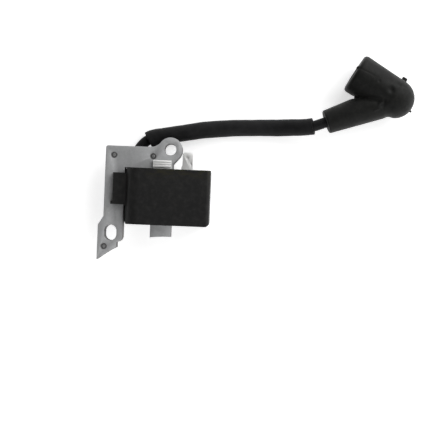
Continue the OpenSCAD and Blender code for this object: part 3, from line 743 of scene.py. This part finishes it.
def wire_tree(name):
    """Round wire that follows a curve."""
    nodes, given, made = path_tree(name, ("Wire Radius", VALUE, 0.45 * MM),
                                   ("Sides", COUNT, 12))
    ring = nodes.add("GeometryNodeCurvePrimitiveCircle", {
        "Resolution": given["Sides"], "Radius": given["Wire Radius"]})
    swept = nodes.add("GeometryNodeCurveToMesh", {
        "Curve": given["Geometry"], "Profile Curve": ring.outputs["Curve"], "Fill Caps": True})
    smooth = nodes.add("GeometryNodeSetShadeSmooth", {"Geometry": swept.outputs["Mesh"]})
    return finish_tree(nodes, given, made, smooth.outputs["Geometry"])


def copies_tree(name):
    """One shape set on every point of the base mesh, turned about its axis by a seeded amount."""
    nodes, given, made = path_tree(name, ("Shape", "NodeSocketObject", None),
                                   ("Turn", VALUE, math.tau), ("Seed", COUNT, 7))
    shape = nodes.add("GeometryNodeObjectInfo", {"Object": given["Shape"]})
    chance = nodes.add("FunctionNodeRandomValue", {"Seed": given["Seed"]}, data_type="FLOAT")
    nodes.feed(given["Turn"], chance.inputs[3])
    turn = nodes.add("ShaderNodeCombineXYZ", {"Z": chance.outputs[1]})
    placed = nodes.add("GeometryNodeInstanceOnPoints", {
        "Points": given["Geometry"], "Instance": shape.outputs["Geometry"],
        "Rotation": turn.outputs["Vector"]})
    return finish_tree(nodes, given, made, placed.outputs["Instances"])


def run_tree(obj, maker, name, **values):
    """Puts a tree on an object, sets its inputs by their identifiers and bakes the result."""
    tree = bpy.data.node_groups.get(name) or maker(name)
    modifier = obj.modifiers.new(name, "NODES")
    modifier.node_group = tree
    sockets = {s.name: s.identifier for s in tree.interface.items_tree
               if s.item_type == "SOCKET" and s.in_out == "INPUT"}
    for title, value in values.items():
        modifier[sockets[title.replace("_", " ")]] = value
    return plain_mesh(obj)


# ---- Lead and sleeve --------------------------------------------------------------------------

def lead_path():
    """Centreline of the whole lead, in millimetres: root in the case, route, tip in the boot."""
    route = smooth_route(LEAD_ROUTE, ROUTE_STEPS)
    root = [np.array((LEAD_ROUTE[0][0], y, LEAD_ROUTE[0][2])) for y in (LEAD_ROOT_Y, -11, -9)]
    tip_l = LEAD_BARREL_L - LEAD_STOP
    tip = [np.array(BOOT_MOUTH + LEAD_DIR * s) for s in np.linspace(0, tip_l, 9)[1:]]
    return np.vstack([root, route, tip])


def make_sleeve(settings):
    """Hollow sleeve that is a little uneven, with rounded cut ends."""
    route = smooth_route(LEAD_ROUTE, ROUTE_STEPS)[SLEEVE_FROM * ROUTE_STEPS:
                                                  SLEEVE_TO * ROUTE_STEPS + 1]
    fine = smooth_route(route, 3)
    tangent, side, top = frames_along(fine)
    outer = settings.sleeve_diameter / 2 / MM
    inner = outer - settings.sleeve_wall / MM
    lip = 0.22
    angles = np.linspace(0, 2 * np.pi, settings.sleeve_sides, endpoint=False)
    last = len(fine) - 1
    along = np.linspace(0, 1, len(fine))[:, None]
    waves = (0.05 * np.sin(19 * along + 2 * angles) + 0.035 * np.sin(43 * along - angles + 1.3)
             + 0.02 * np.sin(97 * along + 3 * angles + 0.4))
    # The end by the core is pressed a little wider on the core's side
    pressed = 0.7 * np.exp(-(along / 0.14) ** 2) * np.maximum(np.cos(angles - 0.35), 0) ** 2
    walls = outer + (waves - 0.06 + pressed)
    rings = []

    def ring(i, radius, shift=0.0):
        centre = fine[i] + tangent[i] * shift
        rings.append(centre + np.reshape(radius, (-1, 1)) * (
            np.cos(angles)[:, None] * side[i] + np.sin(angles)[:, None] * top[i]))

    # Out along the outside, round the far lip, back along the inside and round the near lip
    ring(0, outer - lip)
    ring(0, walls[0], lip)
    for i in range(1, last):
        ring(i, walls[i])
    ring(last, walls[last], -lip)
    ring(last, outer - lip)
    ring(last, inner + lip * 0.4)
    ring(last, inner, -lip)
    for i in reversed(range(1, last)):
        ring(i, inner)
    ring(0, inner, lip)
    ring(0, inner + lip * 0.4)
    return ring_mesh("lead_sleeve_mesh", np.array(rings) * MM, joined=True)


# ---- Boot -------------------------------------------------------------------------------------

def smooth_min(a, b, k):
    h = np.clip(0.5 + 0.5 * (b - a) / k, 0, 1)
    return b * (1 - h) + a * h - k * h * (1 - h)


def smooth_max(a, b, k):
    return -smooth_min(-a, -b, k)


def smooth_step(value, low, high):
    t = np.clip((value - low) / (high - low), 0, 1)
    return t * t * (3 - 2 * t)


def bar_field(p, start, axis, length, radius):
    """Place along a round bar and away from its axis, and distances to its side and its ends.

    The radius may be a function of the distance along the bar."""
    rel = p - np.array(start)
    s = rel @ np.array(axis)
    r = np.linalg.norm(rel - s[:, None] * np.array(axis), axis=1)
    return s, r, r - (radius(s) if callable(radius) else radius), np.maximum(-s, s - length)


def bar(p, start, axis, length, radius, rim=None):
    """Distance to a closed round bar, with its rims rounded where asked."""
    _, _, side, ends = bar_field(p, start, axis, length, radius)
    return smooth_max(side, ends, rim) if rim else np.maximum(side, ends)


def flash_marks():
    """Start, direction, radius and length of each nub of flash on the boot."""
    elbow, plug_dir = np.array(ELBOW), np.array(PLUG_DIR)
    across = np.array((plug_dir[1], -plug_dir[0], 0))
    return (
        (elbow + across * 8.0 + plug_dir * 0.95, across, 1.3, 2.8),
        (elbow + np.array((6.5, -4.9, 0)), np.array((0.8, -0.6, 0)), 0.5, 1.9),
        (elbow + plug_dir * 20.9 + across * 1.1 + np.array((0, 0, 7.7)), plug_dir, 0.75, 2.2))


def boot_field(p, fillet):
    """Signed distance to the boot's rubber, in millimetres, negative inside."""
    elbow = np.array(ELBOW)
    lead_dir = -np.array(LEAD_DIR)
    plug_dir = np.array(PLUG_DIR)

    def lead_radius(s):
        return np.interp(s / LEAD_BARREL_L, [0, 0.45, 1.0], [7.6, 6.65, 5.5])

    def plug_radius(s):
        return ELBOW_R + 0.4 * np.clip(s / PLUG_BARREL_L, 0, 1)

    s_lead, _, side, ends = bar_field(p, elbow, lead_dir, LEAD_BARREL_L, lead_radius)
    lead = smooth_max(side, ends, 0.5)
    s_plug, r_plug, side, _ = bar_field(p, elbow, plug_dir, PLUG_BARREL_L, plug_radius)
    dome = s_plug - PLUG_BARREL_L + 0.004 * r_plug ** 2
    plug = smooth_max(side, np.maximum(-s_plug, dome), 1.8)
    ball = np.linalg.norm(p - elbow, axis=1) - ELBOW_R
    head = smooth_min(plug, ball, 0.8)
    body = smooth_min(head, lead, fillet)

    rel = p - elbow
    height = rel[:, 2]
    top = smooth_step(height, -1.0, 2.0)
    across_plug = rel @ np.array((-plug_dir[1], plug_dir[0], 0)) * -1
    # The barrels meet in a narrow groove, which is deeper under the plug barrel
    meeting = np.hypot(head, lead)
    depth = 0.35 + 0.5 * smooth_step(s_plug, 3.0, 8.0)
    body = body + depth * np.exp(-(meeting / 1.0) ** 2) * (s_lead < 26)
    # Crease beside the ball, and two short raised ribs on the lead barrel next to it
    crease = (np.exp(-((rel[:, 0] + 6.0) / 0.5) ** 2) * top * smooth_step(-rel[:, 1], 0.5, 2.5)
              * (1 - smooth_step(-rel[:, 1], 4.5, 7.0)))
    body = body + 0.45 * crease
    for x_at, y_at, half, rise in ((-7.6, -3.4, 1.1, 0.85), (-8.9, -6.1, 1.6, 0.8)):
        local_x, local_y = rel[:, 0] - x_at, rel[:, 1] - y_at
        along = local_x * 0.91 + local_y * 0.42
        beside = -local_x * 0.42 + local_y * 0.91
        rib = np.exp(-(along / half) ** 4 - (beside / 0.42) ** 2)
        body = body - rise * rib * top
    # Parting line of the mould, the scored line from the socket's mouth, and three sink marks
    body = body - 0.12 * np.exp(-(height / 0.2) ** 2)
    scored = across_plug - np.interp(s_plug, [14.8, 22.8], [1.84, 1.0])
    body = body + 0.22 * np.exp(-(scored / 0.26) ** 2) * top * smooth_step(s_plug, 12.5, 14.5)
    for s_at, w_at, r, sink in ((4.24, 0.73, 1.25, 0.95), (10.95, 1.05, 0.55, 0.35),
                                (2.2, 4.6, 1.0, 0.25)):
        away = ((s_plug - s_at) ** 2 + (across_plug - w_at) ** 2) / r ** 2
        body = body + sink * np.exp(-away) * top
    # Flash left where the mould was fed and vented
    for start, axis, r, length in flash_marks():
        body = smooth_min(body, bar(p, start, axis, length, r, 0.3), 0.35)

    # Bores: plug socket, cavity for the spring, wire passage and lead bore
    holes = bar(p, elbow + plug_dir * (PLUG_BARREL_L - SOCKET_L), plug_dir, SOCKET_L + 3,
                SOCKET_R, 0.25)
    holes = smooth_min(holes, bar(p, elbow, plug_dir, 12, CAVITY_R), 0.3)
    holes = np.minimum(holes, np.linalg.norm(rel, axis=1) - CAVITY_R)
    holes = np.minimum(holes, bar(p, elbow, lead_dir, 12, 1.3))
    holes = np.minimum(holes, bar(p, elbow + lead_dir * LEAD_STOP, lead_dir, LEAD_BARREL_L,
                                  LEAD_BORE_R))
    body = smooth_max(body, -holes, 0.25)
    # A rolled bead just inside the socket's mouth
    bead = np.exp(-((s_plug - 20.4) / 0.7) ** 2) * np.exp(-((r_plug - SOCKET_R) / 0.8) ** 2)
    return body - 0.3 * bead


def make_boot(settings):
    """The CAD boot is remeshed evenly, and every point is then laid on the shaped surface."""
    mesh = merged_copy("plug_boot", "plug_boot_mesh")
    with edited(mesh) as work:
        for start, axis, r, length in flash_marks():
            turn = Vector(axis).to_track_quat("Z", "Y").to_matrix().to_4x4()
            middle = Matrix.Translation(Vector(start + axis * length / 2) * MM)
            bmesh.ops.create_cone(work, cap_ends=True, segments=16, radius1=r * MM,
                                  radius2=r * MM, depth=length * MM, matrix=middle @ turn)
    made = place_object("plug_boot_body", mesh)
    remesh = made.modifiers.new("Even Mesh", "REMESH")
    remesh.mode = "VOXEL"
    remesh.voxel_size = settings.voxel * 1.0
    remesh.adaptivity = 0.0
    made = plain_mesh(made)
    mesh = made.data
    rows = np.empty(len(mesh.vertices) * 3)
    mesh.vertices.foreach_get("co", rows)
    rows = rows.reshape(-1, 3) / MM
    fillet = settings.fillet / MM
    step = 0.02
    for _ in range(10):
        here = boot_field(rows, fillet)
        slope = np.stack([
            (boot_field(rows + way, fillet) - boot_field(rows - way, fillet)) / (2 * step)
            for way in np.eye(3) * step], axis=1)
        size = np.maximum(np.linalg.norm(slope, axis=1), 0.3)
        move = np.clip(here / size, -0.35, 0.35)
        rows = rows - slope / size[:, None] * move[:, None]
    mesh.vertices.foreach_set("co", (rows * MM).ravel())
    mesh.update()
    with edited(mesh) as work:
        bmesh.ops.smooth_vert(work, verts=work.verts, factor=0.3, use_axis_x=True,
                              use_axis_y=True, use_axis_z=True)
        smooth_faces(work)
    return made


def spring_points(settings):
    """Path of the contact spring: turns on the plug axis, then a tail into the lead."""
    elbow, plug, up = np.array(ELBOW), np.array(PLUG_DIR), np.array((0, 0, 1))
    side = np.cross(up, plug)
    turns = settings.spring_turns
    pitch = settings.spring_pitch / MM
    radius = settings.spring_radius / MM
    rows = []
    steps = 24
    for k in range(turns * steps + 1):
        a = math.tau * k / steps
        s = 1.2 + (turns - k / steps) * pitch
        rows.append(elbow + plug * s + radius * (math.cos(a) * side + math.sin(a) * up))
    tail = [elbow - np.array(LEAD_DIR) * s for s in (6, LEAD_STOP - 2, LEAD_STOP + 4.5)]
    return np.vstack([rows, smooth_route([rows[-1]] + tail, 4)[1:]]) * MM


# ---- Operators --------------------------------------------------------------------------------

class IGNITION_OT_stage(bpy.types.Operator):
    """Makes the floor, the light tent, the soft lights and the camera"""
    bl_idname = "ignition.stage"
    bl_label = "Stage and Camera"

    def execute(self, context):
        settings = context.scene.ignition_stage
        scene = context.scene
        camera_data = bpy.data.cameras.new("Overhead Camera")
        camera_data.lens = settings.lens
        camera_data.sensor_width = 36
        camera_data.clip_start = 0.01
        camera_data.clip_end = 40
        camera = place_object("Overhead Camera", camera_data)
        camera.location = (24.26 * MM, -30.42 * MM, settings.camera_height)
        camera.rotation_euler = (0, 0, settings.turn)
        scene.camera = camera

        mesh = bpy.data.meshes.new("floor")
        corners = ((-1, -1), (1, -1), (1, 1), (-1, 1))
        mesh.from_pydata([(x * FLOOR_HALF, y * FLOOR_HALF, CAD_BOX[0].z) for x, y in corners],
                         [], [(0, 1, 2, 3)])
        floor = place_object("floor", mesh)
        paper = Finish("Backdrop Paper", Roughness=0.9, Specular_IOR_Level=0.1,
                       Emission_Strength=settings.table_glow)
        fibre = paper.mottle(settings.floor, shade(settings.floor, 0.985), 60.0, 0.5)
        for title in ("Base Color", "Emission Color"):
            paper.feed(fibre["Colour"], paper.shader.inputs[title])
        mesh.materials.append(paper.material)

        world = bpy.data.worlds.new("Light Tent")
        scene.world = world
        world.use_nodes = True
        nodes = Nodes(world.node_tree)
        nodes.tree.nodes.clear()
        towards = nodes.split(nodes.add("ShaderNodeTexCoord").outputs["Generated"])
        height = nodes.add("ShaderNodeValToRGB", {"Fac": towards["Z"]})
        bands = height.color_ramp
        bands.interpolation = "EASE"
        bands.elements[0].color = grey(0.95)
        bands.elements[1].color = grey(0.16)
        for position, level in ((0.4, 1.45), (0.72, 0.7)):
            bands.elements.new(position).color = grey(level)
        lean = nodes.weighted((towards["X"], 0.6), (towards["Y"], 0.38), base=0.54)
        dimmed = nodes.add("ShaderNodeVectorMath", {"Scale": nodes.math("MAXIMUM", lean, 0.08)},
                           operation="SCALE")
        nodes.feed(height.outputs["Color"], dimmed.inputs[0])
        sky = nodes.add("ShaderNodeBackground", {"Color": dimmed.outputs[0],
                                                 "Strength": settings.sky})
        nodes.add("ShaderNodeOutputWorld", {"Surface": sky.outputs[0]})

        for name, at, size, power in (
                ("Key Light", (0.45, 0.4, 0.5), 0.6, settings.key_power),
                ("Fill Light", (0.12, -0.6, 0.5), 0.8, settings.key_power * 0.85)):
            data = bpy.data.lights.new(name, "AREA")
            data.shape = "DISK"
            data.size = size
            data.energy = power
            light = place_object(name, data)
            light.location = at
            aim = Vector((0.03, 0.0, 0.0)) - Vector(at)
            light.rotation_euler = aim.to_track_quat("-Z", "Y").to_euler()
        scene.view_settings.view_transform = "Standard"
        return {"FINISHED"}


class IGNITION_OT_lead(bpy.types.Operator):
    """Makes the high-tension lead and the sleeve on it"""
    bl_idname = "ignition.lead"
    bl_label = "High-Tension Lead"

    def execute(self, context):
        settings = context.scene.ignition_lead
        lead = poly_curve("high_tension_lead", lead_path() * MM, settings.jacket_diameter / 2)
        lead.data.materials.append(jacket_finish("Lead Jacket", settings.jacket, 0.4))
        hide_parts("ht_lead_root", "ht_lead", "ht_lead_tip")
        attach(lead, "coil")
        sleeve = place_object("lead_sleeve_body", make_sleeve(settings))
        sleeve.data.materials.append(jacket_finish("Sleeve Vinyl", settings.sleeve, 0.45, 0.4))
        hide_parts("lead_sleeve")
        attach(sleeve, "coil")
        return {"FINISHED"}


class IGNITION_OT_boot(bpy.types.Operator):
    bl_idname = "ignition.boot"
    bl_label = "Spark-Plug Boot"

    def execute(self, context):
        settings = context.scene.ignition_boot
        boot = make_boot(settings)
        dress(boot, rubber_finish(settings))
        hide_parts("plug_boot")
        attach(boot, "boot")
        path = poly_curve("contact_spring_wire", spring_points(settings), 0)
        path.data.use_fill_caps = False
        wire = run_tree(path, wire_tree, "Round Wire",
                        Wire_Radius=settings.spring_wire / 2, Sides=12,
                        Material=plated_finish("Spring Steel", (0.62, 0.61, 0.58, 1), 0.28))
        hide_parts("contact_spring")
        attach(wire, "boot")
        return {"FINISHED"}


class IGNITION_OT_core(bpy.types.Operator):
    """Makes the stack of steel sheets and the rivets that hold it"""
    bl_idname = "ignition.core"
    bl_label = "Laminated Core"

    def execute(self, context):
        settings = context.scene.ignition_core
        steel = steel_finish(settings)
        for node in SHEETS:
            sheet = softened(node, node + "_sheet", settings.edge, steel)
        low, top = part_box(SHEETS[0])[0].z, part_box(SHEETS[-1])[1].z
        shape = place_object("rivet_pattern", rivet_mesh(settings.rivet_radius, low, top))
        base = bpy.data.meshes.new("core_rivets_mesh")
        base.from_pydata([(x * MM, y * MM, 0) for x, y in RIVETS_AT], [], [])
        rivets = place_object("core_rivet_set", base)
        rivets = run_tree(rivets, copies_tree, "Set on Points", Shape=shape, Seed=11,
                          Material=rivet_finish())
        bpy.data.objects.remove(shape)
        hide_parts("core_rivets")
        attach(rivets, "coil")
        return {"FINISHED"}


def rivet_mesh(radius, low, top):
    """A swaged rivet: a ring groove and a shallow dish on both faces, turned in 40 facets, with a
    groove attribute that holds painted shade for its finish.
    """
    r = radius
    half = [(0.0, -0.05), (0.3 * r, -0.03), (0.5 * r, 0.0), (0.56 * r, -0.14), (0.68 * r, -0.2),
            (0.8 * r, -0.12), (0.86 * r, 0.0), (0.94 * r, -0.005), (r, -0.06)]
    profile = [(max(x, 0.00002), low - z * MM) for x, z in half]
    profile += [(x, top + z * MM) for x, z in reversed(half)]
    profile[-1] = (0.00002, profile[-1][1])
    angles = np.linspace(0, 2 * np.pi, 40, endpoint=False)
    rings = np.array([[(x * math.cos(a), x * math.sin(a), z) for a in angles] for x, z in profile])
    mesh = ring_mesh("rivet_pattern_mesh", rings)
    # Painted shade per point: strong in the ring groove, some at the rim, little on the dish
    groove_shade = mesh.attributes.new("groove", "FLOAT", "POINT")
    depth = {0: 0.1, 1: 0.1, 2: 0.4, 3: 1.0, 4: 1.0, 5: 1.0, 6: 0.4, 7: 0.3, 8: 0.8}
    values = [depth[min(i, len(profile) - 1 - i)] for i in range(len(profile)) for _ in angles]
    groove_shade.data.foreach_set("value", values)
    return mesh


class IGNITION_OT_case(bpy.types.Operator):
    """Makes the moulded case and the resin cast into its back"""
    bl_idname = "ignition.case"
    bl_label = "Case and Resin"

    def execute(self, context):
        settings = context.scene.ignition_case
        finish = plastic_finish("Housing Plastic", settings.plastic, settings.bloom, 0.46,
                                grain_depth=0.00008 * settings.grain, specular=0.1,
                                flow=settings.flow)
        case = softened("coil_case", "coil_case_body", settings.edge, finish, segments=3,
                        angle=38)
        adopt("potting_resin", resin_finish())
        return {"FINISHED"}


class IGNITION_OT_metal_parts(bpy.types.Operator):
    """Makes the stop terminal and the spring clip on the middle leg"""
    bl_idname = "ignition.metal_parts"
    bl_label = "Terminal and Clip"

    def execute(self, context):
        clip = softened("core_clip", "core_clip_leaf", 0.08 * MM,
                        plated_finish("Clip Plate", (0.95, 0.95, 0.94, 1), 0.4,
                                      math.radians(90), (0.84, 0.84, 0.83, 1), 0.25))
        tab = softened("stop_terminal", "stop_terminal_blade", 0.1 * MM,
                       plated_finish("Tinned Steel", (0.95, 0.95, 0.935, 1), 0.45,
                                     dull=(0.74, 0.74, 0.72, 1), metal=0.2))
        adopt("ht_pin", plated_finish("Pin Brass", (0.62, 0.45, 0.2, 1), 0.25))
        adopt("ht_link", plated_finish("Link Wire", (0.75, 0.74, 0.72, 1), 0.3))
        return {"FINISHED"}


class IGNITION_OT_windings(bpy.types.Operator):
    """Dresses the windings and the bobbins that the resin seals in"""
    bl_idname = "ignition.windings"
    bl_label = "Windings and Bobbins"

    def execute(self, context):
        adopt("primary_winding", winding_finish("Primary Wire", (0.55, 0.2, 0.06, 1),
                                                (0.3, 0.09, 0.03, 1), 2600.0))
        adopt("secondary_winding", winding_finish("Secondary Wire", (0.5, 0.24, 0.09, 1),
                                                  (0.26, 0.1, 0.04, 1), 16000.0))
        nylon = plastic_finish("Bobbin Nylon", (0.62, 0.6, 0.52, 1), (0.5, 0.47, 0.38, 1), 0.45,
                               dusty=0.0, specular=0.5, worn=0.05)
        adopt("primary_bobbin", nylon)
        adopt("secondary_bobbin", nylon)
        adopt("primary_wires", plated_finish("Wire Tails", (0.6, 0.3, 0.14, 1), 0.3,
                                             dull=(0.4, 0.2, 0.1, 1)))
        return {"FINISHED"}


class IGNITION_OT_electronics(bpy.types.Operator):
    """Dresses the board and the components that the resin seals in"""
    bl_idname = "ignition.electronics"
    bl_label = "Trigger Board"

    def execute(self, context):
        adopt("circuit_board", board_finish())
        black = plastic_finish("Component Moulding", (0.014, 0.014, 0.014, 1),
                               (0.03, 0.03, 0.03, 1), 0.4, grain_scale=5000.0, dusty=0.0)
        adopt("power_transistor", black)
        adopt("control_transistor", black)
        self.band_along("resistors", "Resistor Body", (0.5, 0.36, 0.2, 1), (0.12, 0.04, 0.02, 1),
                        (-0.3, -0.1, 0.1, 0.3), 0.09)
        self.band_along("diode", "Diode Body", (0.025, 0.025, 0.025, 1), (0.6, 0.6, 0.6, 1),
                        (0.3,), 0.12)
        self.band_along("capacitor", "Capacitor Body", (0.32, 0.09, 0.035, 1),
                        (0.22, 0.06, 0.03, 1), (-0.45, 0.45), 0.06)
        return {"FINISHED"}

    def band_along(self, node, name, body, band, places, width):
        """Rings across the node's longest side, at parts of its length from its middle."""
        low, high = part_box(node)
        size = high - low
        axis = max(range(3), key=lambda i: size[i])
        along = tuple(1.0 if i == axis else 0.0 for i in range(3))
        adopt(node, banded_finish(name, body, band, along, (low + high) / 2,
                                  [p * size[axis] for p in places], width * size[axis]))


class IGNITION_PT_panel(bpy.types.Panel):
    """Lists the steps that make the coil"""
    bl_label = "Ignition Coil"
    bl_idname = "IGNITION_PT_panel"
    bl_space_type = "VIEW_3D"
    bl_region_type = "UI"
    bl_category = "Ignition Coil"

    def draw(self, context):
        for step in STEPS:
            self.layout.operator(step.bl_idname)
        for name in ("core", "case", "lead", "boot", "stage"):
            box = self.layout.box()
            settings = getattr(context.scene, "ignition_" + name)
            box.label(text=name.title())
            for field in settings.__annotations__:
                box.prop(settings, field)


STEPS = (IGNITION_OT_stage, IGNITION_OT_lead, IGNITION_OT_boot, IGNITION_OT_core,
         IGNITION_OT_case, IGNITION_OT_metal_parts, IGNITION_OT_windings,
         IGNITION_OT_electronics)
SETTINGS = {
    "ignition_core": CoreSettings,
    "ignition_case": CaseSettings,
    "ignition_lead": LeadSettings,
    "ignition_boot": BootSettings,
    "ignition_stage": StageSettings,
}


def register():
    for group in SETTINGS.values():
        bpy.utils.register_class(group)
    for name, group in SETTINGS.items():
        setattr(bpy.types.Scene, name, PointerProperty(type=group))
    for step in (*STEPS, IGNITION_PT_panel):
        bpy.utils.register_class(step)


def unregister():
    for step in reversed((*STEPS, IGNITION_PT_panel)):
        bpy.utils.unregister_class(step)
    for name in SETTINGS:
        delattr(bpy.types.Scene, name)
    for group in reversed(SETTINGS.values()):
        bpy.utils.unregister_class(group)


def main():
    register()
    bpy.ops.ignition.stage()
    bpy.ops.ignition.lead()
    bpy.ops.ignition.boot()
    bpy.ops.ignition.core()
    bpy.ops.ignition.case()
    bpy.ops.ignition.metal_parts()
    bpy.ops.ignition.windings()
    bpy.ops.ignition.electronics()


if __name__ == "__main__":
    main()
